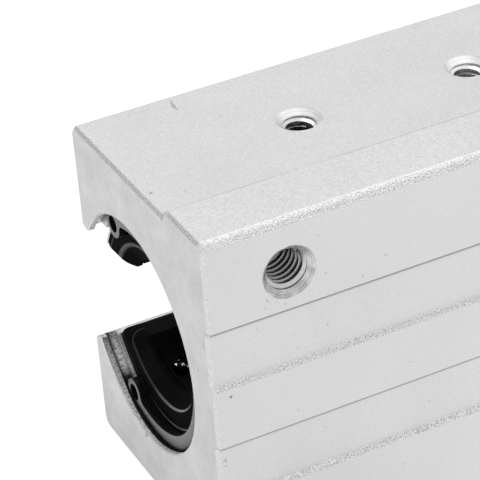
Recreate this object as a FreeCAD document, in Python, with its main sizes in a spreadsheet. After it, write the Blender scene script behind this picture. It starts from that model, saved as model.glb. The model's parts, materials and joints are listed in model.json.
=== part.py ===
import FreeCAD, Part
import math
import os
import re

import Sketcher
from FreeCAD import Placement, Rotation, Vector

# Open linear ball bearing block, long form, for a rail-supported 16 mm shaft.
# Row frame: +X along the shaft, -Y out of the mounting face, +Y out of the shaft slot,
# +Z out of the side with the set screws. The origin is on the shaft axis at mid-length.

SIZES = {
    # Extruded housing
    "block_length": 89.0,
    "block_width": 45.0,
    "axis_height": 20.0,
    "slot_face_height": 14.0,
    "shoulder_height": 9.0,
    "side_recess": 1.2,
    "slot_width": 15.2,
    "slot_tip_round": 1.5,
    "slot_corner_round": 1.5,
    "mount_edge_chamfer": 0.8,
    "end_chamfer": 0.4,
    "face_groove_inner": 3.7,
    "face_groove_outer": 11.4,
    "face_groove_depth": 0.55,
    "cut_margin": 1.0,
    # Bore and retaining rings
    "mouth_relief": 0.4,
    "mouth_chamfer": 0.15,
    "ring_groove_inset": 0.85,
    "ring_groove_width": 1.3,
    "ring_groove_depth": 1.1,
    "ring_thickness": 1.2,
    "ring_clearance": 0.05,
    "ring_reach": 1.35,
    "ring_offset": 0.3,
    "ring_lug_angle": 62.85,
    "ring_turn": -2.15,
    "ring_lug_inset": 1.0,
    "ring_lug_radius": 1.7,
    "ring_hole_radius": 1.05,
    "ring_neck_round": 1.0,
    # Threaded holes, at the thread's major radius
    "mount_hole_radius": 2.5,
    "mount_hole_depth": 12.0,
    "mount_hole_inset": 10.0,
    "mount_hole_pitch": 32.0,
    "mount_sink_radius": 3.15,
    "side_hole_radius": 2.0,
    "side_hole_pitch": 22.25,
    "side_sink_radius": 2.65,
    # Set screws
    "screw_length": 5.0,
    "screw_clearance": 0.02,
    "screw_point_radius": 1.2,
    "screw_point_length": 0.8,
    "screw_edge": 0.3,
    "screw_socket_flats": 2.0,
    "screw_socket_depth": 2.2,
    # Bushings
    "bushing_wall": 5.94,
    "bushing_gap": 10.7,
    "bushing_turn": -4.0,
    "sleeve_clearance": 0.06,
    "sleeve_wall": 0.94,
    "sleeve_end_chamfer": 0.6,
    "sleeve_slot_width": 12.3,
    "raceway_angle": 20.0,
    "raceway_root": 0.2,
    "raceway_room": 1.0,
    # Shaft, balls and their circuits
    "shaft_radius": 8.0,
    "ball_radius": 1.5,
    "ball_clearance": 0.02,
    "track_clearance": 0.06,
    "track_wall": 1.68,
    "track_end_wall": 0.6,
    "return_clearance": 0.07,
    "row_spacing": 72.0,
    # Retainer and end seals
    "retainer_bore_clearance": 0.25,
    "retainer_clearance": 0.05,
    "retainer_slot_width": 9.6,
    "retainer_end_chamfer": 0.4,
    "slot_edge_round": 1.5,
    "seal_thickness": 2.0,
    "seal_clearance": 0.02,
    "seal_lip_clearance": 0.06,
    "seal_lip_land": 0.6,
    "seal_mouth_flare": 1.8,
    "seal_mouth_edge": 0.25,
}

# Formulas that several pieces share
BLOCK_END = "(block_length / 2)"
SIDE_FACE = "(block_width / 2 - side_recess)"
RING_MIDDLE = f"({BLOCK_END} - ring_groove_inset - ring_groove_width / 2)"
BUSHING_END = f"({BLOCK_END} - ring_groove_inset - ring_groove_width)"
BUSHING_LENGTH = f"({BUSHING_END} - bushing_gap / 2)"
BUSHING_MIDDLE = f"({BUSHING_END} - {BUSHING_LENGTH} / 2)"
SLEEVE_RADIUS = "(shaft_radius + bushing_wall)"
SLEEVE_BORE = f"({SLEEVE_RADIUS} - sleeve_wall)"
BORE_RADIUS = f"({SLEEVE_RADIUS} + sleeve_clearance)"
MOUTH_RADIUS = f"({BORE_RADIUS} + mouth_relief)"
RING_GROOVE_RADIUS = f"({BORE_RADIUS} + ring_groove_depth)"
SLOT_DEPTH = f"({BORE_RADIUS} + cut_margin)"
RETAINER_LENGTH = f"({BUSHING_LENGTH} - 2 * seal_thickness)"
RETAINER_RADIUS = f"({SLEEVE_BORE} - retainer_clearance)"
RETAINER_BORE = "(shaft_radius + retainer_bore_clearance)"
SEAL_RADIUS = f"({SLEEVE_BORE} - seal_clearance)"

# The two runs of a ball circuit: the loaded one on the shaft, the return run under the sleeve
TRACK_RADIUS = "(ball_radius + track_clearance)"
TRACK_SPACING = f"(2 * {TRACK_RADIUS} + track_wall)"
TRACK_LENGTH = f"({RETAINER_LENGTH} - 2 * track_end_wall)"
CROSSING_PLACE = f"({TRACK_LENGTH} / 2 - {TRACK_RADIUS})"
CROSSING_LENGTH = f"({TRACK_SPACING} + 2 * {TRACK_RADIUS})"
LOAD_RADIUS = "(shaft_radius + ball_clearance + ball_radius)"
RETURN_RADIUS = f"({SLEEVE_BORE} - return_clearance - ball_radius)"
TRACK_LEAN = (f"acos(({LOAD_RADIUS} ^ 2 + {TRACK_SPACING} ^ 2 - {RETURN_RADIUS} ^ 2)"
              f" / (2 * {LOAD_RADIUS} * {TRACK_SPACING}))")
RACEWAY_RADIUS = f"({LOAD_RADIUS} + ball_radius + ball_clearance)"
RACEWAY_LENGTH = f"({TRACK_LENGTH} - 4 * {TRACK_RADIUS})"

# Turns the frame of a turned piece, its axis along z and the slot along x, into the row frame
ALONG_SHAFT = Rotation(Vector(1, 1, 1), 120)

# Each bushing's name and the end of the block that it is at
ENDS = {"near": -1, "far": 1}
SIDES = {"upper": 1, "lower": -1}

doc = FreeCAD.newDocument("linear_bearing_block")
sheet = doc.addObject("Spreadsheet::Sheet", "Sizes")
nodes = []


def fill_sheet():
    for row, (alias, size) in enumerate(SIZES.items(), start=1):
        sheet.set(f"A{row}", alias)
        sheet.set(f"B{row}", str(size))
        sheet.setAlias(f"B{row}", alias)
    doc.recompute()


def formula(text):
    """The text with each size's name pointed at its cell in the sheet."""
    return re.sub(r"[a-z_]+", lambda m: "Sizes." + m.group() if m.group() in SIZES else m.group(), text)


def bind(target, **formulas):
    """Tie properties to formulas; a double underscore stands for a dot in the property's path."""
    for path, text in formulas.items():
        target.setExpression(path.replace("__", "."), formula(text))
    return target


def solid(kind, name, **formulas):
    return bind(doc.addObject(kind, name), **formulas)


def about_axis(target, angle, **formulas):
    """Turn a solid about its own z axis by a formula in degrees."""
    target.Placement = Placement(Vector(), Rotation(Vector(0, 0, 1), 1))
    return bind(target, Placement__Rotation__Angle=angle, **formulas)


def combine(kind, name, *pieces):
    result = doc.addObject(kind, name)
    if kind == "Part::Cut":
        result.Base, result.Tool = pieces
    else:
        result.Shapes = list(pieces)
    return result


def finish(target, node, **place):
    """Give a finished piece its node's name and its place in the row frame."""
    target.Label = node
    bind(target, **{f"Placement__Base__{axis}": text for axis, text in place.items()})
    nodes.append(target)


def finish_turned(target, node, turn, x, flipped=False):
    """Name a piece of revolution's node and put it on the shaft's axis, turned about it from the slot."""
    rotation = f"rotation(vector(1; 0; 0); {turn}) * rotation(vector(1; 1; 1); 120)"
    if flipped:
        rotation += " * rotation(vector(1; 0; 0); 180)"
    target.Label = node
    bind(target, Placement=f"placement(vector({x}; 0; 0); {rotation})")
    nodes.append(target)


def sketch_on(body, name, plane, lift=None):
    sketch = body.newObject("Sketcher::SketchObject", name)
    support = next(f for f in body.Origin.OriginFeatures if f.Role == plane)
    sketch.AttachmentSupport = [(support, "")]
    sketch.MapMode = "FlatFace"
    if lift:
        bind(sketch, AttachmentOffset__Base__z=lift)
    return sketch


def pin(sketch, geometry, point, place):
    """Hold a sketch point at a pair of formulas."""
    for kind, text in zip(("DistanceX", "DistanceY"), place):
        index = sketch.addConstraint(Sketcher.Constraint(kind, -1, 1, geometry, point, 1.0))
        sketch.setExpression(f"Constraints[{index}]", formula(text))


def polygon(sketch, corners):
    """Draw a closed straight-sided outline through pairs of formulas."""
    turn = 2 * math.pi / len(corners)
    start = [Vector(math.cos(turn * i), math.sin(turn * i), 0) for i in range(len(corners))]
    lines = [sketch.addGeometry(Part.LineSegment(a, b)) for a, b in zip(start, start[1:] + start[:1])]
    for line, following in zip(lines, lines[1:] + lines[:1]):
        sketch.addConstraint(Sketcher.Constraint("Coincident", line, 2, following, 1))
    for line, place in zip(lines, corners):
        pin(sketch, line, 1, place)


def circles(sketch, radius, centres):
    for centre in centres:
        ring = sketch.addGeometry(Part.Circle(Vector(), Vector(0, 0, 1), 1.0))
        pin(sketch, ring, 3, centre)
        index = sketch.addConstraint(Sketcher.Constraint("Radius", ring, 1.0))
        sketch.setExpression(f"Constraints[{index}]", formula(radius))


def feature(body, kind, name, profile, **formulas):
    made = body.newObject(f"PartDesign::{kind}", name)
    made.Profile = profile
    if kind in ("Revolution", "Groove"):
        made.Angle = 360
    bind(made, **formulas)
    body.Tip = made
    return made


def revolve(body, corners):
    """Turn an outline of (radius, height) formulas about the body's z axis."""
    sketch = sketch_on(body, "turned_outline", "XZ_Plane")
    polygon(sketch, corners)
    made = feature(body, "Revolution", "turning", sketch)
    made.ReferenceAxis = (sketch, ["V_Axis"])
    doc.recompute()


def slot_pocket(body, plane, name, width, depth, length):
    """Mill the shaft slot: open towards the slot face, straight through the length."""
    half = f"({width} / 2)"
    sketch = sketch_on(body, name + "_outline", plane)
    polygon(sketch, [("0", f"-{half}"), (depth, f"-{half}"), (depth, half), ("0", half)])
    cut = feature(body, "Pocket", name, sketch, Length=f"{length} + 2 * cut_margin")
    cut.SideType = "Symmetric"
    doc.recompute()


def dress(body, kind, name, size, chosen):
    """Fillet or chamfer the edges of the body's tip that the test picks out."""
    base = body.Tip
    names = [f"Edge{i}" for i, edge in enumerate(base.Shape.Edges, start=1) if chosen(edge)]
    made = body.newObject(f"PartDesign::{kind}", name)
    made.Base = (base, names)
    bind(made, **{"Radius" if kind == "Fillet" else "Size": size})
    body.Tip = made
    doc.recompute()


def value(text):
    return sheet.evalExpression(formula(text))


def lies_along(edge, **places):
    """True for an edge whose every point has the given coordinates."""
    points = [edge.valueAt(edge.ParameterRange[k]) for k in (0, 1)]
    return all(abs(getattr(p, axis) - at) < 1e-4 for p in points for axis, at in places.items())


def housing_section():
    """Corners of the extruded section, upper half first, from the mounting face round to the slot face."""
    face = "-axis_height"
    step = "(-axis_height + shoulder_height)"
    side = "(block_width / 2)"
    upper = [
        (face, "face_groove_inner"),
        (f"{face} + face_groove_depth", "face_groove_inner + face_groove_depth"),
        (f"{face} + face_groove_depth", "face_groove_outer - face_groove_depth"),
        (face, "face_groove_outer"),
        (face, f"{side} - mount_edge_chamfer"),
        (f"{face} + mount_edge_chamfer", side),
        (f"{step} - side_recess / 2", side),
        (f"{step} + side_recess / 2", f"{side} - side_recess"),
        ("slot_face_height", f"{side} - side_recess"),
    ]
    return upper + [(y, f"-({z})") for y, z in reversed(upper)]


def bored_outline():
    """Half-section of everything bored out: chamfered mouths, retaining-ring grooves and bore."""
    left = [
        (f"-{BLOCK_END} - cut_margin", "0"),
        (f"-{BLOCK_END} - cut_margin", f"{MOUTH_RADIUS} + mouth_chamfer"),
        (f"-{BLOCK_END}", f"{MOUTH_RADIUS} + mouth_chamfer"),
        (f"-{BLOCK_END} + mouth_chamfer", MOUTH_RADIUS),
        (f"-{BLOCK_END} + ring_groove_inset", MOUTH_RADIUS),
        (f"-{BLOCK_END} + ring_groove_inset", RING_GROOVE_RADIUS),
        (f"-{BUSHING_END}", RING_GROOVE_RADIUS),
        (f"-{BUSHING_END}", BORE_RADIUS),
    ]
    return left + [(f"-({x})", r) for x, r in reversed(left)]


def tapped_holes(body, name, plane, lift, centres, radius, sink_radius, depth):
    """Countersunk holes at the thread's major radius."""
    sketch = sketch_on(body, name + "_places", plane, lift)
    circles(sketch, radius, centres)
    doc.recompute()
    hole = feature(body, "Hole", name, sketch)
    hole.DepthType = "Dimension"
    hole.HoleCutType = "Countersink"
    hole.HoleCutCustomValues = True
    hole.HoleCutCountersinkAngle = 90
    bind(hole, Diameter=f"2 * {radius}", HoleCutDiameter=f"2 * {sink_radius}", Depth=depth)
    doc.recompute()


def make_housing():
    body = doc.addObject("PartDesign::Body", "HousingBody")
    section = sketch_on(body, "section", "YZ_Plane")
    polygon(section, housing_section())
    pad = feature(body, "Pad", "extrusion", section, Length="block_length")
    pad.SideType = "Symmetric"
    doc.recompute()

    face = value("slot_face_height")
    side = value(SIDE_FACE)
    dress(body, "Fillet", "slot_corners", "slot_corner_round",
          lambda e: any(lies_along(e, y=face, z=k * side) for k in (1, -1)))
    end = value(BLOCK_END)
    dress(body, "Chamfer", "ends", "end_chamfer", lambda e: any(lies_along(e, x=k * end) for k in (1, -1)))

    slot_pocket(body, "YZ_Plane", "shaft_slot", "slot_width", "slot_face_height + cut_margin",
                "block_length")
    tip = value("slot_width / 2")
    dress(body, "Fillet", "slot_tips", "slot_tip_round",
          lambda e: any(lies_along(e, y=face, z=k * tip) for k in (1, -1)))

    outline = sketch_on(body, "bored_outline", "XY_Plane")
    polygon(outline, bored_outline())
    bore = feature(body, "Groove", "boring", outline)
    bore.ReferenceAxis = (outline, ["H_Axis"])
    doc.recompute()

    reach = f"({BLOCK_END} - mount_hole_inset)"
    corners = [(x + reach, z + "mount_hole_pitch / 2") for x in ("-", "") for z in ("-", "")]
    tapped_holes(body, "mount_holes", "XZ_Plane", "axis_height", corners,
                 "mount_hole_radius", "mount_sink_radius", "mount_hole_depth")
    tapped_holes(body, "side_holes", "XY_Plane", SIDE_FACE,
                 [(x, "0") for x in ("-side_hole_pitch", "0", "side_hole_pitch")],
                 "side_hole_radius", "side_sink_radius", f"{SIDE_FACE} - {BORE_RADIUS} + cut_margin")
    finish(body, "housing")


def make_retaining_ring(end, sign):
    """Internal retaining ring: an eccentric band whose two lugs stand either side of the slot."""
    outer = f"({RING_GROOVE_RADIUS} - ring_clearance)"
    lug_radius = f"({BORE_RADIUS} - ring_lug_inset)"
    disc = ring_disc("ring_disc", outer, Angle="360 - 2 * ring_lug_angle")
    about_axis(disc, "ring_lug_angle")
    hollow = ring_disc("ring_hollow", f"{BORE_RADIUS} - ring_reach", Placement__Base__x="ring_offset")
    band = combine("Part::Cut", "ring_band", disc, hollow)
    lugs, eyes = [], []
    for side in SIDES.values():
        place = {"Placement__Base__x": f"{lug_radius} * cos(ring_lug_angle)",
                 "Placement__Base__y": f"{side} * {lug_radius} * sin(ring_lug_angle)"}
        lugs.append(ring_disc("ring_lug", "ring_lug_radius", **place))
        eyes.append(ring_disc("ring_eye", "ring_hole_radius", **place))
    rough = combine("Part::MultiFuse", "ring_with_lugs", band, *lugs)
    trimmed = combine("Part::MultiCommon", "ring_trimmed", rough, ring_disc("ring_limit", outer))
    stamping = combine("Part::Cut", "ring_stamping", trimmed, combine("Part::MultiFuse", "ring_eyes", *eyes))
    doc.recompute()
    body = doc.addObject("PartDesign::Body", "RingBody")
    body.BaseFeature = stamping
    doc.recompute()
    inner = value(f"{BORE_RADIUS} - ring_reach")
    offset = value("ring_offset")
    dress(body, "Fillet", "lug_necks", "ring_neck_round", lambda e: stands_on(e, offset, inner))
    finish_turned(body, f"retaining_ring_{end}", "ring_turn",
                  f"{sign} * {RING_MIDDLE} - ring_thickness / 2")


def stands_on(edge, offset, radius):
    """True for an upright edge on the ring's inner circle."""
    ends = [edge.valueAt(edge.ParameterRange[k]) for k in (0, 1)]
    upright = math.hypot(ends[0].x - ends[1].x, ends[0].y - ends[1].y) < 1e-4
    return upright and all(abs(math.hypot(p.x - offset, p.y) - radius) < 1e-4 for p in ends)


def ring_disc(name, radius, **formulas):
    return solid("Part::Cylinder", name, Radius=radius, Height="ring_thickness", **formulas)


def circuits():
    """Each ball circuit's name, the side that it is on, and the angle of its loaded run from the slot."""
    for side, sign in SIDES.items():
        for number in (1, 2):
            yield f"{side}_{number}", sign, f"({number} * row_spacing)"


def sector(name, radius, hollow_radius, length, angle, middle):
    """A rib of a ring's section, centred on an angle and on the middle of the length."""
    wedge = solid("Part::Cylinder", name, Radius=radius, Height=length, Angle=angle,
                  Placement__Base__z=f"-{length} / 2")
    about_axis(wedge, f"{middle} - {angle} / 2")
    core = solid("Part::Cylinder", name + "_core", Radius=hollow_radius, Height=length,
                 Placement__Base__z=f"-{length} / 2")
    return combine("Part::Cut", name + "_rib", wedge, core)


def make_sleeve(end, sign):
    """Hardened outer sleeve: a slotted ring with a raised raceway over each loaded run."""
    body = doc.addObject("PartDesign::Body", "SleeveBody")
    half = f"({BUSHING_LENGTH} / 2)"
    upper = [(SLEEVE_BORE, half), (f"{SLEEVE_RADIUS} - sleeve_end_chamfer", half),
             (SLEEVE_RADIUS, f"{half} - sleeve_end_chamfer")]
    revolve(body, upper + [(r, f"-({z})") for r, z in reversed(upper)])
    slot_pocket(body, "XY_Plane", "sleeve_slot", "sleeve_slot_width", SLOT_DEPTH, BUSHING_LENGTH)
    ribs = [sector("raceway", f"{SLEEVE_BORE} + raceway_root", RACEWAY_RADIUS, RACEWAY_LENGTH,
                   "raceway_angle", f"{side} * {angle}") for _, side, angle in circuits()]
    sleeve = combine("Part::MultiFuse", "sleeve", body, *ribs)
    finish_turned(sleeve, f"sleeve_{end}", "bushing_turn", f"{sign} * {BUSHING_MIDDLE}")


def track_run(x):
    """A straight run of the ball track, six-sided so that one corner breaks through to the shaft."""
    run = solid("Part::Prism", "track_run", Circumradius=f"{TRACK_RADIUS} / cos(30)", Height=TRACK_LENGTH)
    return about_axis(run, "30", Placement__Base__x=x, Placement__Base__z=f"-{TRACK_LENGTH} / 2")


def track_crossing(sign):
    """The passage at one end that leads the balls from one run across to the other."""
    crossing = doc.addObject("Part::Prism", "track_crossing")
    crossing.Placement = Placement(Vector(), ALONG_SHAFT)
    return bind(crossing, Circumradius=f"{TRACK_RADIUS} / cos(30)", Height=CROSSING_LENGTH,
                Placement__Base__x=f"-{CROSSING_LENGTH} / 2",
                Placement__Base__z=f"{sign} * {CROSSING_PLACE}")


def ball_track(side, angle):
    """The closed track of one circuit, leaning from the loaded run at an angle to the return run."""
    half = f"({TRACK_SPACING} / 2)"
    track = combine("Part::MultiFuse", "ball_track", track_run(half), track_run(f"-{half}"),
                    track_crossing(1), track_crossing(-1))
    lean = f"({angle} * 1 deg + {TRACK_LEAN})"
    return about_axis(track, f"{side} * {lean}",
                      Placement__Base__x=f"{LOAD_RADIUS} * cos({angle}) - {half} * cos({lean})",
                      Placement__Base__y=f"{side} * ({LOAD_RADIUS} * sin({angle}) - {half} * sin({lean}))")


def make_retainer(end, sign):
    """Moulded ball retainer: a slotted tube with the ball tracks and room for the sleeve's raceways."""
    body = doc.addObject("PartDesign::Body", "RetainerBody")
    half = f"({RETAINER_LENGTH} / 2)"
    upper = [(RETAINER_BORE, f"{half} - retainer_end_chamfer"),
             (f"{RETAINER_BORE} + retainer_end_chamfer", half), (RETAINER_RADIUS, half)]
    revolve(body, upper + [(r, f"-({z})") for r, z in reversed(upper)])
    slot_pocket(body, "XY_Plane", "retainer_slot", "retainer_slot_width", SLOT_DEPTH, RETAINER_LENGTH)
    round_slot_edges(body, value(RETAINER_RADIUS))
    cuts = []
    for _, side, angle in circuits():
        cuts.append(ball_track(side, angle))
        cuts.append(sector("raceway_room", BORE_RADIUS, f"{RACEWAY_RADIUS} - retainer_clearance",
                           f"({RACEWAY_LENGTH} + 2 * retainer_clearance)", "(raceway_angle + raceway_room)",
                           f"{side} * {angle}"))
    retainer = combine("Part::Cut", "retainer", body, combine("Part::MultiFuse", "retainer_cuts", *cuts))
    finish_turned(retainer, f"retainer_{end}", "bushing_turn", f"{sign} * {BUSHING_MIDDLE}")


def round_slot_edges(body, radius, outer_face=None):
    """Round the edges where the slot's sides meet the outside, and the outer face if there is one."""
    half = value("retainer_slot_width / 2")
    across = math.sqrt(radius ** 2 - half ** 2)
    lines = [{"x": across, "y": k * half} for k in (1, -1)]
    if outer_face is not None:
        lines += [{"z": outer_face, "y": k * half} for k in (1, -1)]
    dress(body, "Fillet", "slot_edges", "slot_edge_round",
          lambda e: any(lies_along(e, **line) for line in lines))


def make_seal(end, sign, place, facing):
    """End seal: a rubber ring whose conical mouth leads to the lip on the shaft."""
    body = doc.addObject("PartDesign::Body", "SealBody")
    lip = "(shaft_radius + seal_lip_clearance)"
    mouth = "(shaft_radius + seal_mouth_flare)"
    revolve(body, [(lip, "0"), (SEAL_RADIUS, "0"), (SEAL_RADIUS, "seal_thickness"),
                   (f"{mouth} + seal_mouth_edge", "seal_thickness"),
                   (mouth, "seal_thickness - seal_mouth_edge"), (lip, "seal_lip_land")])
    slot_pocket(body, "XY_Plane", "seal_slot", "retainer_slot_width", SLOT_DEPTH, "(2 * seal_thickness)")
    round_slot_edges(body, value(SEAL_RADIUS), value("seal_thickness"))
    finish_turned(body, f"{place}_seal_{end}", "bushing_turn",
                  f"{sign} * {BUSHING_MIDDLE} + {facing} * {RETAINER_LENGTH} / 2", flipped=facing < 0)


def make_ball_circuit(end, sign, circuit, side, angle):
    """The balls that stand at the two ends of one circuit's raceway."""
    balls = []
    place_angle = f"({side} * {angle} + bushing_turn)"
    for place in (-1, 1):
        balls.append(solid("Part::Sphere", "ball", Radius="ball_radius",
                           Placement__Base__x=f"{sign} * {BUSHING_MIDDLE} + {place} * {RACEWAY_LENGTH} / 2",
                           Placement__Base__y=f"{LOAD_RADIUS} * cos({place_angle})",
                           Placement__Base__z=f"{LOAD_RADIUS} * sin({place_angle})"))
    group = doc.addObject("Part::Compound", "ball_circuit")
    group.Links = balls
    finish(group, f"balls_{end}_{circuit}")


def make_set_screw(end, sign):
    """Socket set screw that pins a sleeve from the side of the housing."""
    body = doc.addObject("PartDesign::Body", "ScrewBody")
    thread = "(side_hole_radius - screw_clearance)"
    revolve(body, [("0", "0"), ("screw_point_radius", "0"), (thread, "screw_point_length"),
                   (thread, "screw_length - screw_edge"), (f"{thread} - screw_edge", "screw_length"),
                   ("0", "screw_length")])
    socket = sketch_on(body, "socket_outline", "XY_Plane", "screw_length")
    corner = "screw_socket_flats / 2 / cos(30)"
    polygon(socket, [(f"{corner} * cos({60 * k})", f"{corner} * sin({60 * k})") for k in range(6)])
    feature(body, "Pocket", "socket", socket, Length="screw_socket_depth")
    finish(body, f"set_screw_{end}", x=f"{sign} * side_hole_pitch", z=f"{SLEEVE_RADIUS} + screw_clearance")


def check():
    """Stop on any failed feature or bad solid before anything is written."""
    doc.recompute()
    for item in doc.Objects:
        if "Invalid" in item.State or "Error" in item.State:
            raise RuntimeError(f"{item.Name} ({item.Label}) failed: {item.State}")
    for node in nodes:
        if node.Shape.isNull() or not node.Shape.isValid() or not node.Shape.Solids:
            raise RuntimeError(f"{node.Label} has no valid solid")


def write():
    os.makedirs("parts", exist_ok=True)
    for node in nodes:
        node.Shape.exportStep(f"parts/{node.Label}.step")
        print(node.Label, len(node.Shape.Solids), "solids", round(node.Shape.Volume, 2), "mm3")


fill_sheet()
make_housing()
for end, sign in ENDS.items():
    make_retaining_ring(end, sign)
    make_sleeve(end, sign)
    make_retainer(end, sign)
    make_seal(end, sign, "outer", sign)
    make_seal(end, sign, "inner", -sign)
    for circuit, side, angle in circuits():
        make_ball_circuit(end, sign, circuit, side, angle)
    make_set_screw(end, sign)
check()
write()
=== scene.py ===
import json
import math

import bpy
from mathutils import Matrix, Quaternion, Vector


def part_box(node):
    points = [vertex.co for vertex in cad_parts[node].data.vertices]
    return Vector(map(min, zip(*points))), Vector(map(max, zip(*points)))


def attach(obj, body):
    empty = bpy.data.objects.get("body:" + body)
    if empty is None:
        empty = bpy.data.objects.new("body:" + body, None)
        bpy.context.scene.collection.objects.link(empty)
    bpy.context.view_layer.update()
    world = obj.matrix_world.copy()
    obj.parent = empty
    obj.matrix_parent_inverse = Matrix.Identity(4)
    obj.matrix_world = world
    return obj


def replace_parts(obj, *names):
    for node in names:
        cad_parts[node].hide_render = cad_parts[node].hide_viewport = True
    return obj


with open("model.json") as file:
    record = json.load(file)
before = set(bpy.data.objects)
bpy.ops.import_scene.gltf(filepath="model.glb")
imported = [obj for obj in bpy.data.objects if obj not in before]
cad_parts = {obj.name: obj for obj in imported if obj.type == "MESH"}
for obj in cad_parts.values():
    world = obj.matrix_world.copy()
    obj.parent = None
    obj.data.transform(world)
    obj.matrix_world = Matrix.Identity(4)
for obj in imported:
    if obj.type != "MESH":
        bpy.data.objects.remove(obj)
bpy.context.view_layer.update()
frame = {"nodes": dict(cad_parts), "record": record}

# The bearing block lies on its side on a white floor. Lengths are in metres, written in millimetres.
MM = 0.001

# Camera, fitted to the edges, holes and bore rim of the photograph
CAMERA_EYE = Vector((-128.49, -213.01, 155.20)) * MM
CAMERA_AIM = Vector((-26.07, 10.23, 1.02)) * MM
CAMERA_ROLL = math.radians(-4.58)
CAMERA_CLIP = 10 * MM
IMAGE_PIXELS = 480
FOCAL_PIXELS = 2415
SENSOR_WIDTH = 36

# Light: the world and the floor are seen as white, and light the block less than that
WORLD_AMBIENT = 0.75
FLOOR_HALF_SIZE = 3000 * MM
FLOOR_ALBEDO = 0.35
FLOOR_GLOW = 0.8
LAMP_PLACE = Vector((-200, 200, 650)) * MM
LAMP_SIZE = 500 * MM
LAMP_WATTS = 0.7

# Threads: coarse metric, with the countersink that cuts their first turn
MOUNT_PITCH = 0.8 * MM
MOUNT_SINK_RADIUS = 3.15 * MM
MOUNT_THREAD_DEPTH = 10.5 * MM
SIDE_PITCH = 0.7 * MM
SIDE_SINK_RADIUS = 2.65 * MM
SIDE_HOLE_SPACING = 22.25 * MM
THREAD_HEIGHT_SHARE = 0.541
THREAD_ROOT_SHARE = 0.125
THREAD_CREST_SHARE = 0.25
THREAD_STEPS = 48
THREAD_SEAT = 0.01 * MM

# Ball circuits
RETURN_RADIUS = 11.43 * MM
RUN_SPACING = 4.8 * MM
BALLS_PER_RUN = 9
BALL_SEGMENTS = 24
CROSSING_REACH = 1.56 * MM
RUN_PLAY = 0.25 * MM

# Edges of added pieces that turn by more than this stay sharp
SHARP_DEGREES = 30
BALL_SHARP_DEGREES = 80

# Sockets of a Mix node that blends two numbers
MIX_FACTOR, MIX_LOW, MIX_HIGH = 0, 2, 3

# Noises in the housing's finish: size of a feature, detail and, where it is uneven, stretch along the axes
FINE_GRAIN = (0.20 * MM, 2)
COARSE_GRAIN = (0.15 * MM, 2)
TORN_GRAIN = (0.26 * MM, 3)
GLINTS = (0.26 * MM, 1)
BLOTCHES = (0.40 * MM, 3)
SPECKS = (0.9 * MM, 2)
MOTTLE = (1.2 * MM, 4)
SINK_STAINS = (1.3 * MM, 5)
STAINS = (3.5 * MM, 5)
CLOUDS = (9 * MM, 4, (1, 1, 1.8))
DRIFT = (11 * MM, 2)

# Tones of the housing's faces: dark, light and, if it isn't the usual one, the half range of noise between
NOISE_MIDDLE = 0.5
HALF_RANGE = 0.20
FACE_TONES = (0.67, 0.78)
SIDE_TONES = (0.625, 0.755)
SHOULDER_TONES = (0.62, 0.79)
# The ends' sawn tones are also painted darker than the long faces' as shade
SAWN_SHADED_TONES = (0.565, 0.645)
GROOVE_WALL_TONES = (0.47, 0.84, 0.10)
CHAMFER_TONES = (0.48, 0.90, 0.12)
# Painted shade: the groove walls that face downward, and the chamfers between the ends and the side faces
OVERHUNG_SHADE_TONES = (0.30, 0.42, 0.14)
END_TOP_SHADE_TONES = (0.32, 0.60, 0.14)
END_CHAMFER_TONES = (0.60, 0.80, 0.16)
MOUNT_SINK_TONES = (0.46, 0.76, 0.14)
TORN_TONES = (0.40, 1.0, 0.14)

# Housing's faces, told apart by the sizes of their normals' parts
FACING = (0.90, 0.95)
END_FACING = (0.85, 0.95)
SLANTED = (0.30, 0.45)
EDGE_FACING = (0.60, 0.70)
BORE_FACING = (0.40, 0.60)

# Housing's blasted faces: the shoulders' heights, glints and clouds
SHOULDER_HEIGHTS = (22.0 * MM, 22.2 * MM)
GLINT_RANGE = (0.66, 0.74)
GLINT_TONE = 0.10
CLOUD_CHANGE = 0.015
BLASTED_ROUGHNESS = (0.40, 0.56)
BLASTED_BUMP = (0.05 * MM, 0.5)
FINE_BUMP_SHARE = 0.35

# Housing's sawn ends, with painted shade that darkens them towards the foot
SAWN_GRIT = 0.045
SAWN_MOTTLE = 0.025
SAWN_FOOT = (-22 * MM, -13 * MM)
SAWN_FOOT_SHADE = 0.12

# Housing's slants and edges: where the face grooves end, the painted shade in a ragged band on the chamfers
# between the ends and the side faces, and the mounting edges' gleam
GROOVE_HEIGHTS = (12 * MM, 13 * MM)
END_TOP_SHADE_INSET = (0.31 * MM, 0.40 * MM)
END_TOP_SHADE_RAGGEDNESS = 0.07 * MM
EDGE_DEPTH = 0.8 * MM
EDGE_WIDTH = (0.12 * MM, 0.36 * MM)
EDGE_GLEAM = (0.10, 0.26, 0.10)

# Housing's countersinks, with the tool's rings; the side ones have painted light across the block and
# painted shade along it. A range may have two more numbers: the values at its ends
MOUNT_SINK_MARGIN = (0.05 * MM, 0.13 * MM)
MOUNT_SINK_DEPTHS = (3 * MM, 4 * MM)
SIDE_SINK_MARGIN = (0.05 * MM, 0.11 * MM)
SIDE_SINK_HEIGHTS = (18 * MM, 19 * MM)
SIDE_SINK_REACH = (30 * MM, 31 * MM)
SIDE_SINK_LIGHT_TONES = (0.9 * MM, 2.3 * MM, 0.92, 0.62)
SIDE_SINK_CHANGE = (0.05, 0.15)
TOOL_FEED = 0.27 * MM
CHATTER = 0.06
CHATTER_STRENGTH = (0.2, 1.6, 0.15)

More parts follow.
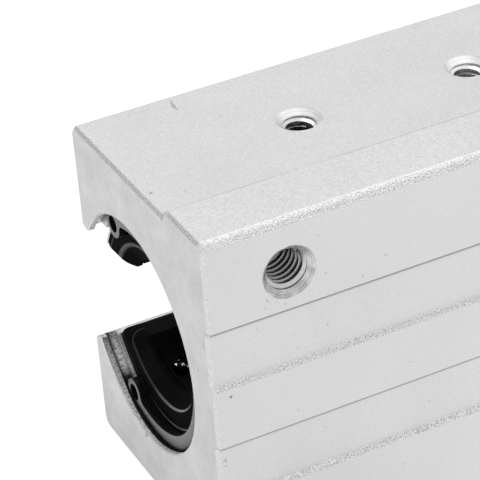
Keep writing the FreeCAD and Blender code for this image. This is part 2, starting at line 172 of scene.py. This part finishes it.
# Housing's bore: torn by the tool, shaded behind its lip, with painted shade at the foot, and painted light
# and shade by height
BORE_RADII = (15.25 * MM, 15.35 * MM)
LIP_INSET = (0.86 * MM, 0.90 * MM)
SHADED_INSET = (1.20 * MM, 1.55 * MM)
SHADED_TONE = 0.25
LIP_FOOT_SHADE_INSET = (2.2 * MM, 2.3 * MM)
LIP_FOOT_SHADE_HEIGHTS = (-12 * MM, -11 * MM)
LIP_FOOT_SHADE_LEAN = (0.30 * MM, 0.85 * MM, 4.5 * MM, 0.0)
LIP_FOOT_SHADE_TONE = 0.04
LOWER_BORE_LIGHT = (-10 * MM, -7 * MM, 1.35, 0.55)
UPPER_BORE_LIGHT = (-4 * MM, 4 * MM, 0.0, 0.45)

# Painted shadow lines on the housing, at the step and the rim of its sides and at the feet of the face
# grooves, and dark specks
SIDE_FACE_MARGIN = (0.1 * MM, 0.2 * MM)
STEP_SHADOW_PLACES = (-9.95 * MM, -9.50 * MM)
STEP_SHADOW_TONES = (0.85, 0.58, 0.10)
RIM_SHADE_PLACES = (13.70 * MM, 13.85 * MM)
RIM_SHADE_DRIFT = (0.46, 0.60)
RIM_SHADE_TONE = 0.6
GROOVE_DEPTH = 0.55 * MM
GROOVE_MARGIN = (0.05 * MM, 0.10 * MM)
GROOVE_FEET = (10.85 * MM, -4.25 * MM)
FOOT_SHADOW_WIDTH = (0.06 * MM, 0.20 * MM)
FOOT_SHADOW_TONE = 0.76
SPECK_RANGE = (0.73, 0.79)
SPECK_TONE = 0.72

# Small marks of use on the block: place and radius in millimetres, and how dark
MARKS = (
    ((-43.32, -5.33, 21.3), 0.28, 0.55),
    ((-32.50, 12.07, 21.3), 0.22, 0.72),
    ((-32.71, 11.52, 21.3), 0.30, 0.62),
    ((-32.84, 10.97, 21.3), 0.34, 0.58),
    ((-32.90, 10.42, 21.3), 0.32, 0.60),
    ((-32.88, 9.87, 21.3), 0.24, 0.70),
    ((-42.49, -20.0, 2.76), 0.24, 0.40),
    ((-37.40, -20.0, 13.45), 0.16, 0.68),
    ((-37.20, -20.0, 13.20), 0.16, 0.66),
    ((-35.20, -20.0, 12.20), 0.20, 0.72),
    ((-37.65, -20.0, 12.45), 0.18, 0.74),
    ((-44.5, 0.80, -14.79), 0.42, 0.45),
)
MARK_CORE_SHARE = 0.4
MARK_RAGGEDNESS = 0.05 * MM

# Shade in corners and holes, weaker where the housing is bored, turned or faces outward
OPENNESS_SAMPLES = 8
SHADE_OPENNESS = (0.10, 0.90)
SHADE_DARKEST = 0.15
SHALLOW_DARKEST = 0.45
HOUSING_SHADE_REACH = 1.2 * MM
SLEEVE_SHADE_REACH = 1.0 * MM

# Cut metal of the threads, shaded by how open it is deep in the hole and between the turns. The mounting
# holes' copy is painted darker as shade, and the middle hole's copy lighter as painted light
CUT_GRAIN = (0.15 * MM, 2)
CUT_ROUGHNESS = (0.18, 0.32)
CUT_BUMP = (0.01 * MM, 0.4)
TURN_REACH = 0.6 * MM
MOUNT_THREAD_SHADED_LOOK = {
    "tones": (0.44, 0.64), "reach": 4 * MM, "deep": (0.24, 0.70), "between": (0.25, 0.75), "darkest": 0.08,
}
SIDE_THREAD_LOOK = {
    "tones": (0.62, 0.80), "reach": 2 * MM, "deep": (0.0, 0.25), "between": (0.10, 0.50), "darkest": 0.20,
}
PORT_THREAD_LIT_LOOK = {
    "tones": (0.78, 0.90), "reach": 2 * MM, "deep": (0.0, 0.10), "between": (0.0, 0.30), "darkest": 0.70,
}

# Ground steel of the sleeves and polished steel of the balls
GRINDING_LINES = (0.12 * MM, 3, (40, 1, 1))
GROUND_SPOTS = (1.4 * MM, 4)
GROUND_TONES = (0.48, 0.66)
GROUND_ROUGHNESS = (0.22, 0.42)
GROUND_BUMP = (0.01 * MM, 0.5)
POLISHED_FILM = (0.8 * MM, 3)
POLISHED_TONES = (0.62, 0.76)
POLISHED_ROUGHNESS = (0.05, 0.12)

# Black oxide of the rings and screws, with a sheen that grows with openness and height
OXIDE_PATCHES = (1.1 * MM, 4)
OXIDE_GRAIN = (0.14 * MM, 2)
OXIDE_TONES = (0.005, 0.012)
OXIDE_ROUGHNESS = (0.22, 0.32)
OXIDE_EDGE_RADIUS = 0.12 * MM
OXIDE_EDGE_SAMPLES = 4
SHEEN_REACH = 1.8 * MM
SHEEN_BY_HEIGHT = (-6 * MM, 6 * MM, -0.03, 0.10)
SHEEN_RANGE = (0.54, 0.92)
SHEEN_POWER = 4.0

# Black mouldings, and the circles painted lighter on the seals, the first two as painted highlights on the
# mouth's edge and band, the third a light line further out: radius, half width, upper tone and lower tone
MOULDING_DRIFT = (3 * MM, 3)
MOULDING_TONES = (0.004, 0.009)
MOULDING_BUMP = (0.008 * MM, 0.35)
PLASTIC_LOOK = {"grain_noise": (0.3 * MM, 3), "roughness": (0.28, 0.40), "gloss": 0.006}
RUBBER_LOOK = {"grain_noise": (0.2 * MM, 3), "roughness": (0.45, 0.60), "gloss": 0.003}
LIGHTER_CIRCLES = (
    (9.92 * MM, 0.14 * MM, 0.0, 0.20),
    (10.10 * MM, 0.36 * MM, 0.26, 0.0),
    (12.20 * MM, 0.16 * MM, 0.12, 0.12),
)
LIGHTER_CORE_SHARE = 0.4
LIGHTER_GRAIN = (0.3, 0.6, 0.4, 1.0)
LIGHTER_HEIGHTS = (-2 * MM, 2 * MM)
LIGHTER_LOWER_SHARES = (-6 * MM, 3 * MM, 2.2, 0.25)

ENDS = ("near", "far")
SIDES = {"upper": 1, "lower": -1}
housing_low, housing_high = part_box("housing")
side_face = max(v.co.z for v in frame["nodes"]["housing"].data.vertices if v.co.y > 0)
mounts = {mount["name"]: mount for mount in frame["record"]["mounts"]}


class Shader:
    """A node material under construction, with its Principled shader and positions in the row frame."""

    def __init__(self, name):
        self.material = bpy.data.materials.new(name)
        self.material.use_nodes = True
        self.tree = self.material.node_tree
        self.shader = self.tree.nodes["Principled BSDF"]
        self.position = self.node("ShaderNodeTexCoord").outputs["Object"]
        self.normal = self.node("ShaderNodeNewGeometry").outputs["True Normal"]

    def node(self, kind, inputs=None, **settings):
        made = self.tree.nodes.new(kind)
        for key, setting in settings.items():
            setattr(made, key, setting)
        for key, value in (inputs or {}).items():
            self.feed(made.inputs[key], value)
        return made

    def feed(self, socket, value):
        if isinstance(value, bpy.types.NodeSocket):
            self.tree.links.new(value, socket)
        else:
            socket.default_value = value

    def set(self, **values):
        """Set or link the Principled shader's sockets, their names written with underscores."""
        for key, value in values.items():
            self.feed(self.shader.inputs[key.replace("_", " ")], value)

    def math(self, operation, *values):
        made = self.node("ShaderNodeMath", operation=operation)
        for socket, value in zip(made.inputs, values):
            self.feed(socket, value)
        return made.outputs[0]

    def total(self, first, *rest):
        for value in rest:
            first = self.math("ADD", first, value)
        return first

    def product(self, first, *rest):
        for value in rest:
            first = self.math("MULTIPLY", first, value)
        return first

    def either(self, first, *rest):
        """The largest of several masks."""
        for value in rest:
            first = self.math("MAXIMUM", first, value)
        return first

    def distance(self, a, b):
        """The length of a vector in a plane, from its two parts."""
        return self.math("SQRT", self.total(self.product(a, a), self.product(b, b)))

    def axes(self, vector):
        """The three parts of a vector."""
        split = self.node("ShaderNodeSeparateXYZ", {0: vector})
        return [split.outputs[k] for k in range(3)]

    def off(self, value, place):
        """How far a value is from a place, either way."""
        return self.math("ABSOLUTE", self.total(value, -place))

    def noise(self, feature, detail, stretch=(1, 1, 1)):
        """Noise from 0 to 1 whose features are about the given size, stretched along the axes."""
        scaled = self.node("ShaderNodeVectorMath", {0: self.position, 1: stretch}, operation="DIVIDE")
        inputs = {"Vector": scaled.outputs[0], "Scale": 1 / feature, "Detail": detail}
        return self.node("ShaderNodeTexNoise", inputs).outputs["Fac"]

    def remap(self, value, low, high, new_low, new_high):
        """A value in one range, held to it, as its place in another range."""
        inputs = {"Value": value, "From Min": low, "From Max": high, "To Min": new_low, "To Max": new_high}
        return self.node("ShaderNodeMapRange", inputs, clamp=True).outputs["Result"]

    def rise(self, value, low, high):
        """0 up to the low value and 1 from the high one."""
        return self.remap(value, low, high, 0, 1)

    def fall(self, value, low, high):
        """1 up to the low value and 0 from the high one."""
        return self.remap(value, low, high, 1, 0)

    def near(self, value, place, margin):
        """1 near a place, falling to 0 over a margin either side of it."""
        return self.fall(self.off(value, place), *margin)

    def inside(self, distance, radius, margin):
        """1 within a radius, falling to 0 over a margin outside it."""
        return self.fall(distance, radius + margin[0], radius + margin[1])

    def spread(self, noise, low, high, half_range=HALF_RANGE):
        """The middle range of a noise, spread from a low value to a high one."""
        return self.remap(noise, NOISE_MIDDLE - half_range, NOISE_MIDDLE + half_range, low, high)

    def sway(self, noise, change, half_range=HALF_RANGE):
        """The middle range of a noise, as a change either way."""
        return self.spread(noise, -change, change, half_range)

    def dim(self, mask, tone):
        """1 outside a mask and a darker tone in it."""
        return self.remap(mask, 0, 1, 1, tone)

    def blend(self, factor, low, high):
        """One of two numbers, or between them, by a factor from 0 to 1."""
        inputs = {MIX_FACTOR: factor, MIX_LOW: low, MIX_HIGH: high}
        return self.node("ShaderNodeMix", inputs, data_type="FLOAT").outputs[0]

    def openness(self, distance):
        """1 in the open, less in corners and holes, by what stands within a distance."""
        occlusion = self.node("ShaderNodeAmbientOcclusion", {"Distance": distance}, samples=OPENNESS_SAMPLES)
        return occlusion.outputs["AO"]

    def shade(self, distance):
        """A tone that darkens in corners and holes."""
        return self.remap(self.openness(distance), *SHADE_OPENNESS, SHADE_DARKEST, 1)

    def bump(self, height, distance, strength):
        inputs = {"Height": height, "Distance": distance, "Strength": strength}
        self.set(Normal=self.node("ShaderNodeBump", inputs).outputs["Normal"])


class HousingShader(Shader):
    """The housing's material, with the places, slopes and noises that its finishes share."""

    def __init__(self, name):
        super().__init__(name)
        self.x, self.y, self.z = self.axes(self.position)
        self.far_x = self.math("ABSOLUTE", self.x)
        self.far_z = self.math("ABSOLUTE", self.z)
        self.depth = self.total(self.y, -housing_low.y)
        self.inset = self.math("SUBTRACT", housing_high.x, self.far_x)
        self.slopes = self.axes(self.normal)
        self.along, self.out, self.up = [self.math("ABSOLUTE", part) for part in self.slopes]
        self.upright = self.rise(self.up, *FACING)
        self.outward = self.rise(self.out, *FACING)
        self.slanted = self.rise(self.product(self.out, self.up), *SLANTED)
        self.fine = self.noise(*FINE_GRAIN)
        self.speckle = self.noise(*COARSE_GRAIN)
        self.stain = self.noise(*STAINS)

    def blasted_faces(self):
        """Tone of the long flat faces, with the sides and their shoulders apart from the rest."""
        shoulder = self.product(self.upright, self.rise(self.far_z, *SHOULDER_HEIGHTS))
        level = self.blend(self.upright, self.spread(self.fine, *FACE_TONES),
                           self.spread(self.fine, *SIDE_TONES))
        level = self.blend(shoulder, level, self.spread(self.fine, *SHOULDER_TONES))
        glints = self.product(self.upright, self.remap(self.noise(*GLINTS), *GLINT_RANGE, 0, GLINT_TONE))
        return self.total(level, glints, self.sway(self.noise(*CLOUDS), CLOUD_CHANGE))

    def sawn_ends(self, level):
        """Stained and mottled tone of the two ends, painted darker than the long faces as shade, and with
        painted shade towards the foot.
        """
        sawn = self.total(self.spread(self.stain, *SAWN_SHADED_TONES), self.sway(self.fine, SAWN_GRIT),
                          self.sway(self.noise(*MOTTLE), SAWN_MOTTLE),
                          self.remap(self.z, *SAWN_FOOT, -SAWN_FOOT_SHADE, 0))
        return self.blend(self.rise(self.along, *END_FACING), level, sawn)

    def slants(self, level):
        """Coarse speckle on the groove walls and chamfers, painted shade on the downward-facing groove walls
        and on the chamfers between the ends and the side faces, and a gleam along the mounting edges.
        """
        coarse = self.blend(self.rise(self.far_z, *GROOVE_HEIGHTS),
                            self.spread(self.speckle, *GROOVE_WALL_TONES),
                            self.spread(self.speckle, *CHAMFER_TONES))
        level = self.blend(self.slanted, level, coarse)
        # Painted shade on the groove walls that face downward
        overhung_shade = self.rise(self.product(self.slopes[1], self.slopes[2]), *SLANTED)
        level = self.blend(overhung_shade, level, self.spread(self.speckle, *OVERHUNG_SHADE_TONES))
        # Painted shade in a ragged band on the chamfers between the ends and the side faces
        end_top_band = self.fall(self.total(self.inset, self.sway(self.fine, -END_TOP_SHADE_RAGGEDNESS)), *END_TOP_SHADE_INSET)
        end_top_shade = self.product(self.rise(self.product(self.along, self.up), *SLANTED), end_top_band)
        level = self.blend(end_top_shade, level, self.spread(self.speckle, *END_TOP_SHADE_TONES))
        end_chamfer = self.rise(self.product(self.along, self.out), *SLANTED)
        level = self.blend(end_chamfer, level, self.spread(self.speckle, *END_CHAMFER_TONES))
        edge = self.product(self.near(self.depth, EDGE_DEPTH, EDGE_WIDTH),
                            self.rise(self.up, *EDGE_FACING))
        return self.total(level, self.product(edge, self.spread(self.speckle, *EDGE_GLEAM)))

    def countersinks(self):
        """Where the holes' mouths are turned, and their tone with the tool's rings, with painted light and
        shade in the side holes.
        """
        pattern = mounts["mounting_holes"]["dims"]
        mount_hole = self.distance(self.off(self.far_x, pattern["spacing_x_mm"] * MM / 2),
                                   self.off(self.far_z, pattern["spacing_y_mm"] * MM / 2))
        beside = self.math("PINGPONG", self.x, SIDE_HOLE_SPACING / 2)
        side_hole = self.distance(beside, self.y)
        at_mount = self.product(self.inside(mount_hole, MOUNT_SINK_RADIUS, MOUNT_SINK_MARGIN),
                                self.fall(self.depth, *MOUNT_SINK_DEPTHS))
        at_side = self.product(self.inside(side_hole, SIDE_SINK_RADIUS, SIDE_SINK_MARGIN),
                               self.rise(self.z, *SIDE_SINK_HEIGHTS),
                               self.fall(self.far_x, *SIDE_SINK_REACH))
        turns = self.product(self.blend(at_side, mount_hole, side_hole), 2 * math.pi / TOOL_FEED)
        chatter = self.product(self.math("SINE", turns), CHATTER,
                               self.spread(self.noise(*BLOTCHES), *CHATTER_STRENGTH))
        mount_tone = self.spread(self.noise(*SINK_STAINS), *MOUNT_SINK_TONES)
        # Side countersinks: painted light across the block and painted shade along it, with stains
        side_light_and_stain = self.total(self.remap(beside, *SIDE_SINK_LIGHT_TONES),
                               self.sway(self.stain, *SIDE_SINK_CHANGE))
        turned = self.either(at_mount, at_side)
        return turned, self.total(self.blend(at_side, mount_tone, side_light_and_stain), chatter)

    def bore(self):
        """Where the housing is bored, and its tone there, with painted shade and painted light."""
        bored = self.product(self.fall(self.distance(self.y, self.z), *BORE_RADII),
                             self.fall(self.along, *BORE_FACING))
        behind_lip = self.product(self.rise(self.inset, *LIP_INSET), self.fall(self.inset, *SHADED_INSET))
        # Painted shade at the foot of the lip and the ring groove
        leaning = self.total(self.z, self.remap(self.inset, *LIP_FOOT_SHADE_LEAN))
        lip_foot_shade = self.product(self.fall(self.inset, *LIP_FOOT_SHADE_INSET), self.fall(leaning, *LIP_FOOT_SHADE_HEIGHTS))
        # Painted light low in the bore and painted shade at middle heights
        light_by_height = self.total(self.remap(self.z, *LOWER_BORE_LIGHT), self.remap(self.z, *UPPER_BORE_LIGHT))
        torn = self.product(self.spread(self.noise(*TORN_GRAIN), *TORN_TONES),
                            self.dim(behind_lip, SHADED_TONE), self.dim(lip_foot_shade, LIP_FOOT_SHADE_TONE), light_by_height)
        return bored, torn

    def shadow_lines_and_specks(self):
        """Painted shadow lines along the sides and grooves, and a few dark specks."""
        drift = self.noise(*DRIFT)
        at_side_face = self.product(self.near(self.far_z, side_face, SIDE_FACE_MARGIN), self.upright)
        # Painted shadow behind the shoulder's step
        step = self.product(at_side_face, self.fall(self.y, *STEP_SHADOW_PLACES))
        # Painted shade along the far rim of the side faces, in patches
        rim_shade = self.product(at_side_face, self.rise(self.y, *RIM_SHADE_PLACES), self.rise(drift, *RIM_SHADE_DRIFT))
        shadows_and_specks = self.product(self.blend(step, 1.0, self.spread(drift, *STEP_SHADOW_TONES)),
                            self.dim(rim_shade, RIM_SHADE_TONE))
        # Painted shadow lines on the groove floors at the feet of the overhung walls
        sunk = self.product(self.outward, self.near(self.depth, GROOVE_DEPTH, GROOVE_MARGIN))
        for foot in GROOVE_FEET:
            line = self.product(sunk, self.near(self.z, foot, FOOT_SHADOW_WIDTH))
            shadows_and_specks = self.product(shadows_and_specks, self.dim(line, FOOT_SHADOW_TONE))
        return self.product(shadows_and_specks, self.remap(self.noise(*SPECKS), *SPECK_RANGE, 1, SPECK_TONE))

    def corners_and_marks(self, bored, turned):
        """Shade in the corners, and the small marks of use."""
        shade = self.shade(HOUSING_SHADE_REACH)
        shallow = self.either(bored, turned, self.outward)
        shade = self.blend(shallow, shade, self.remap(shade, 0, 1, SHALLOW_DARKEST, 1))
        ragged = self.sway(self.fine, MARK_RAGGEDNESS)
        for place, radius, tone in MARKS:
            inputs = {0: self.position, 1: Vector(place) * MM}
            gap = self.node("ShaderNodeVectorMath", inputs, operation="DISTANCE").outputs["Value"]
            core = MARK_CORE_SHARE * radius * MM
            shade = self.product(shade, self.remap(self.total(gap, ragged), core, radius * MM, tone, 1))
        return shade


def blasted_aluminium():
    """Extruded, blasted, sawn and bored: each kind of face has its own grain and tone."""
    finish = HousingShader("blasted_aluminium")
    level = finish.slants(finish.sawn_ends(finish.blasted_faces()))
    turned, cut = finish.countersinks()
    bored, torn = finish.bore()
    level = finish.blend(bored, finish.blend(turned, level, cut), torn)
    level = finish.product(level, finish.shadow_lines_and_specks(), finish.corners_and_marks(bored, turned))
    finish.set(Base_Color=level, Metallic=1.0, Roughness=finish.spread(finish.fine, *BLASTED_ROUGHNESS))
    fine_height = finish.product(finish.fine, FINE_BUMP_SHARE)
    finish.bump(finish.blend(finish.slanted, fine_height, finish.speckle), *BLASTED_BUMP)
    return finish.material


def machined_aluminium(name, tones, reach, deep, between, darkest):
    """Cut metal of the threads: bright crests, with painted shade between the turns and deep in the hole."""
    finish = Shader(name)
    chatter = finish.noise(*CUT_GRAIN)
    shade = finish.product(finish.remap(finish.openness(TURN_REACH), *between, darkest, 1),
                           finish.remap(finish.openness(reach), *deep, darkest, 1))
    finish.set(Base_Color=finish.product(finish.spread(chatter, *tones), shade), Metallic=1.0,
               Roughness=finish.spread(chatter, *CUT_ROUGHNESS))
    finish.bump(chatter, *CUT_BUMP)
    return finish.material


def ground_steel():
    finish = Shader("ground_steel")
    lines = finish.noise(*GRINDING_LINES)
    spots = finish.noise(*GROUND_SPOTS)
    level = finish.product(finish.spread(spots, *GROUND_TONES), finish.shade(SLEEVE_SHADE_REACH))
    finish.set(Base_Color=level, Metallic=1.0, Roughness=finish.spread(lines, *GROUND_ROUGHNESS))
    finish.bump(lines, *GROUND_BUMP)
    return finish.material


def polished_steel():
    finish = Shader("polished_steel")
    film = finish.noise(*POLISHED_FILM)
    finish.set(Base_Color=finish.spread(film, *POLISHED_TONES), Metallic=1.0,
               Roughness=finish.spread(film, *POLISHED_ROUGHNESS))
    return finish.material


def black_oxide():
    """Blackened spring steel with a grey sheen where it stands open, and rounded edges."""
    finish = Shader("black_oxide")
    patches = finish.noise(*OXIDE_PATCHES)
    grain = finish.noise(*OXIDE_GRAIN)
    height = finish.axes(finish.position)[2]
    sheen = finish.total(finish.openness(SHEEN_REACH), finish.remap(height, *SHEEN_BY_HEIGHT))
    rounded = finish.node("ShaderNodeBevel", {"Radius": OXIDE_EDGE_RADIUS}, samples=OXIDE_EDGE_SAMPLES)
    finish.set(Base_Color=finish.spread(patches, *OXIDE_TONES),
               Roughness=finish.spread(grain, *OXIDE_ROUGHNESS),
               Specular_IOR_Level=finish.math("POWER", finish.rise(sheen, *SHEEN_RANGE), SHEEN_POWER),
               Normal=rounded.outputs["Normal"])
    return finish.material


def black_moulding(name, grain_noise, roughness, gloss, lighter_circles=()):
    """Moulded black plastic or rubber, painted lighter along circles round the shaft, with tones that differ
    above and below.
    """
    finish = Shader(name)
    grain = finish.noise(*grain_noise)
    drift = finish.noise(*MOULDING_DRIFT)
    level = finish.spread(drift, *MOULDING_TONES)
    y, z = finish.axes(finish.position)[1:]
    radius = finish.distance(y, z)
    # Painted highlights at the seal's mouth, and a light line further out, changing with height and growing
    # towards the mounting face
    for circle, half_width, upper_tone, lower_tone in lighter_circles:
        lower = finish.product(finish.remap(y, *LIGHTER_LOWER_SHARES), lower_tone)
        tone = finish.blend(finish.rise(z, *LIGHTER_HEIGHTS), lower, upper_tone)
        line = finish.near(radius, circle, (LIGHTER_CORE_SHARE * half_width, half_width))
        level = finish.total(level, finish.product(line, tone, finish.remap(grain, *LIGHTER_GRAIN)))
    finish.set(Base_Color=level, Roughness=finish.spread(drift, *roughness), Specular_IOR_Level=gloss)
    finish.bump(grain, *MOULDING_BUMP)
    return finish.material


def mesh_object(name, vertices, faces, material, sharp_degrees):
    mesh = bpy.data.meshes.new(name)
    mesh.from_pydata(vertices, [], faces)
    mesh.validate()
    mesh.shade_smooth()
    mesh.set_sharp_from_angle(angle=math.radians(sharp_degrees))
    mesh.materials.append(material)
    made = bpy.data.objects.new(name, mesh)
    bpy.context.scene.collection.objects.link(made)
    return made


def thread_ridge(name, mouth, inward, major, pitch, sink, stop, material):
    """The helical ridge of a tapped hole, down to a depth, its first turn cut by the countersink."""
    axis = Vector(inward)
    across = axis.orthogonal().normalized()
    beside = axis.cross(across)
    start = sink - major
    base = (1 - THREAD_ROOT_SHARE) * pitch / 2
    crest = THREAD_CREST_SHARE * pitch / 2
    inner = major - THREAD_HEIGHT_SHARE * pitch
    profile = [(major - THREAD_SEAT, -base), (inner, -crest), (inner, crest), (major - THREAD_SEAT, base)]
    corners = len(profile)
    steps = int((stop - start - 2 * base) / pitch * THREAD_STEPS)
    vertices, faces = [], []
    for step in range(steps + 1):
        turn = 2 * math.pi * step / THREAD_STEPS
        spoke = across * math.cos(turn) + beside * math.sin(turn)
        middle = start + base + pitch * step / THREAD_STEPS
        for radius, offset in profile:
            depth = middle + offset
            radius = min(max(radius, sink - depth), major - THREAD_SEAT)
            vertices.append(mouth + axis * depth + spoke * radius)
    for step in range(steps):
        for k in range(corners):
            a = corners * step + k
            b = corners * step + (k + 1) % corners
            faces.append((a, b, b + corners, a + corners))
    last = corners * steps
    faces += [tuple(reversed(range(corners))), tuple(range(last, last + corners))]
    made = mesh_object(name, vertices, faces, material, SHARP_DEGREES)
    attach(made, "root")


def make_mount_threads(material):
    dims = mounts["mounting_holes"]["dims"]
    radius = dims["hole_r_mm"] * MM
    places = [(x, z) for x in (-1, 1) for z in (-1, 1)]
    for number, (x, z) in enumerate(places, start=1):
        mouth = Vector((x * dims["spacing_x_mm"] * MM / 2, housing_low.y, z * dims["spacing_y_mm"] * MM / 2))
        thread_ridge(f"mount_thread_{number}", mouth, (0, 1, 0), radius, MOUNT_PITCH, MOUNT_SINK_RADIUS,
                     MOUNT_THREAD_DEPTH, material)


def make_side_threads(screw_material, port_material):
    """Threads of the side holes: above the set screws, and right through in the middle hole."""
    port = mounts["lubrication_port"]
    radius = port["dims"]["r_mm"] * MM
    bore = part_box("sleeve_near")[1].z
    stops = {"middle": (port["pos_m"][0], bore)}
    for end in ENDS:
        low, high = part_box(f"set_screw_{end}")
        stops[end] = ((low.x + high.x) / 2, high.z)
    for name, (x, floor) in stops.items():
        material = port_material if name == "middle" else screw_material
        thread_ridge(f"side_thread_{name}", Vector((x, 0, side_face)), (0, 0, -1), radius, SIDE_PITCH,
                     SIDE_SINK_RADIUS, side_face - floor, material)


def ball(centre, radius, vertices, faces):
    """Add one sphere's rings and poles to a growing mesh."""
    first = len(vertices)
    rings = BALL_SEGMENTS // 2
    vertices.append(centre + Vector((radius, 0, 0)))
    for ring in range(1, rings):
        tilt = math.pi * ring / rings
        reach = math.sin(tilt)
        for k in range(BALL_SEGMENTS):
            turn = 2 * math.pi * k / BALL_SEGMENTS
            place = Vector((math.cos(tilt), reach * math.cos(turn), reach * math.sin(turn)))
            vertices.append(centre + radius * place)
    vertices.append(centre - Vector((radius, 0, 0)))
    last = len(vertices) - 1
    foot = last - BALL_SEGMENTS
    for k in range(BALL_SEGMENTS):
        following = (k + 1) % BALL_SEGMENTS
        faces.append((first, first + 1 + k, first + 1 + following))
        faces.append((foot + following, foot + k, last))
        for ring in range(rings - 2):
            a = first + 1 + ring * BALL_SEGMENTS
            b = a + BALL_SEGMENTS
            faces.append((a + k, b + k, b + following, a + following))


def make_ball_trains(material):
    for end in ENDS:
        for side, sign in SIDES.items():
            for number in (1, 2):
                make_ball_train(f"{end}_{side}_{number}", sign, material)


def make_ball_train(circuit, sign, material):
    """A circuit's balls: a row on the shaft, a row returning under the sleeve, and one in each crossing."""
    node = f"balls_{circuit}"
    low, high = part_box(node)
    radius = (high.z - low.z) / 2
    centre = (low + high) / 2
    load = math.hypot(centre.y, centre.z)
    angle = math.atan2(centre.z, centre.y)
    apart = math.acos((load ** 2 + RETURN_RADIUS ** 2 - RUN_SPACING ** 2) / (2 * load * RETURN_RADIUS))
    run = high.x - low.x - 2 * radius
    rows = [reach * Vector((0, math.cos(turn), math.sin(turn)))
            for reach, turn in ((load, angle), (RETURN_RADIUS, angle - sign * apart))]
    vertices, faces = [], []
    for row in rows:
        for k in range(BALLS_PER_RUN):
            x = centre.x + (run - 2 * RUN_PLAY) * (k / (BALLS_PER_RUN - 1) - 0.5)
            ball(row + Vector((x, 0, 0)), radius, vertices, faces)
    for way in (-1, 1):
        x = centre.x + way * (run / 2 + CROSSING_REACH)
        ball((rows[0] + rows[1]) / 2 + Vector((x, 0, 0)), radius, vertices, faces)
    train = mesh_object(f"ball_train_{circuit}", vertices, faces, material, BALL_SHARP_DEGREES)
    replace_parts(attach(train, "root"), node)


def finish_nodes(materials):
    """Give every CAD node the finish of its kind."""
    for name, node in frame["nodes"].items():
        kind = next(word for word in materials if word in name)
        node.data.materials.clear()
        node.data.materials.append(materials[kind])


def make_camera():
    data = bpy.data.cameras.new("camera")
    data.sensor_width = SENSOR_WIDTH
    data.lens = SENSOR_WIDTH * FOCAL_PIXELS / IMAGE_PIXELS
    data.clip_start = CAMERA_CLIP
    camera = bpy.data.objects.new("camera", data)
    bpy.context.scene.collection.objects.link(camera)
    camera.location = CAMERA_EYE
    camera.rotation_mode = "QUATERNION"
    look = (CAMERA_AIM - CAMERA_EYE).to_track_quat("-Z", "Y")
    camera.rotation_quaternion = look @ Quaternion((0, 0, 1), CAMERA_ROLL)
    bpy.context.scene.camera = camera


def seen_directly(tree):
    """1 for rays from the camera, a mirror or glass, and 0 for the rays that light the object."""
    path = tree.nodes.new("ShaderNodeLightPath")
    seen = path.outputs["Is Camera Ray"]
    for name in ("Is Glossy Ray", "Is Transmission Ray"):
        either = tree.nodes.new("ShaderNodeMath")
        either.operation = "MAXIMUM"
        tree.links.new(seen, either.inputs[0])
        tree.links.new(path.outputs[name], either.inputs[1])
        seen = either.outputs[0]
    return seen


def make_world():
    """White where it is seen, and a softer grey where it lights the object."""
    world = bpy.data.worlds.new("world")
    world.use_nodes = True
    bpy.context.scene.world = world
    tree = world.node_tree
    mix = tree.nodes.new("ShaderNodeMix")
    mix.data_type = "FLOAT"
    tree.links.new(seen_directly(tree), mix.inputs[MIX_FACTOR])
    mix.inputs[MIX_LOW].default_value = WORLD_AMBIENT
    mix.inputs[MIX_HIGH].default_value = 1.0
    background = tree.nodes["Background"]
    background.inputs["Color"].default_value = (1, 1, 1, 1)
    tree.links.new(mix.outputs[0], background.inputs["Strength"])


def make_floor():
    """Pale floor under the block that reads as white and keeps a faint shadow."""
    z = housing_low.z
    signs = ((-1, -1), (1, -1), (1, 1), (-1, 1))
    corners = [(x * FLOOR_HALF_SIZE, y * FLOOR_HALF_SIZE, z) for x, y in signs]
    material = bpy.data.materials.new("floor")
    material.use_nodes = True
    tree = material.node_tree
    shader = tree.nodes["Principled BSDF"]
    shader.inputs["Base Color"].default_value = (FLOOR_ALBEDO, FLOOR_ALBEDO, FLOOR_ALBEDO, 1)
    shader.inputs["Roughness"].default_value = 1.0
    shader.inputs["Specular IOR Level"].default_value = 0.0
    shader.inputs["Emission Color"].default_value = (1, 1, 1, 1)
    strength = tree.nodes.new("ShaderNodeMath")
    strength.operation = "MULTIPLY"
    strength.inputs[1].default_value = FLOOR_GLOW
    tree.links.new(seen_directly(tree), strength.inputs[0])
    tree.links.new(strength.outputs[0], shader.inputs["Emission Strength"])
    mesh_object("floor", corners, [(0, 1, 2, 3)], material, SHARP_DEGREES)


def make_lamp():
    """A square soft lamp aimed at the block."""
    data = bpy.data.lights.new("key", "AREA")
    data.size = LAMP_SIZE
    data.energy = LAMP_WATTS
    lamp = bpy.data.objects.new("key", data)
    bpy.context.scene.collection.objects.link(lamp)
    lamp.location = LAMP_PLACE
    lamp.rotation_mode = "QUATERNION"
    lamp.rotation_quaternion = (-LAMP_PLACE).to_track_quat("-Z", "Y")


def main():
    scene = bpy.context.scene
    scene.view_settings.view_transform = "Standard"
    steel_balls = polished_steel()
    oxide = black_oxide()
    finish_nodes({
        "housing": blasted_aluminium(),
        "retaining_ring": oxide,
        "set_screw": oxide,
        "sleeve": ground_steel(),
        "balls": steel_balls,
        "retainer": black_moulding("black_plastic", **PLASTIC_LOOK),
        "seal": black_moulding("black_rubber", **RUBBER_LOOK, lighter_circles=LIGHTER_CIRCLES),
    })
    make_mount_threads(machined_aluminium("mount_threads", **MOUNT_THREAD_SHADED_LOOK))
    make_side_threads(machined_aluminium("side_threads", **SIDE_THREAD_LOOK),
                      machined_aluminium("port_threads", **PORT_THREAD_LIT_LOOK))
    make_ball_trains(steel_balls)
    make_camera()
    make_world()
    make_floor()
    make_lamp()


main()
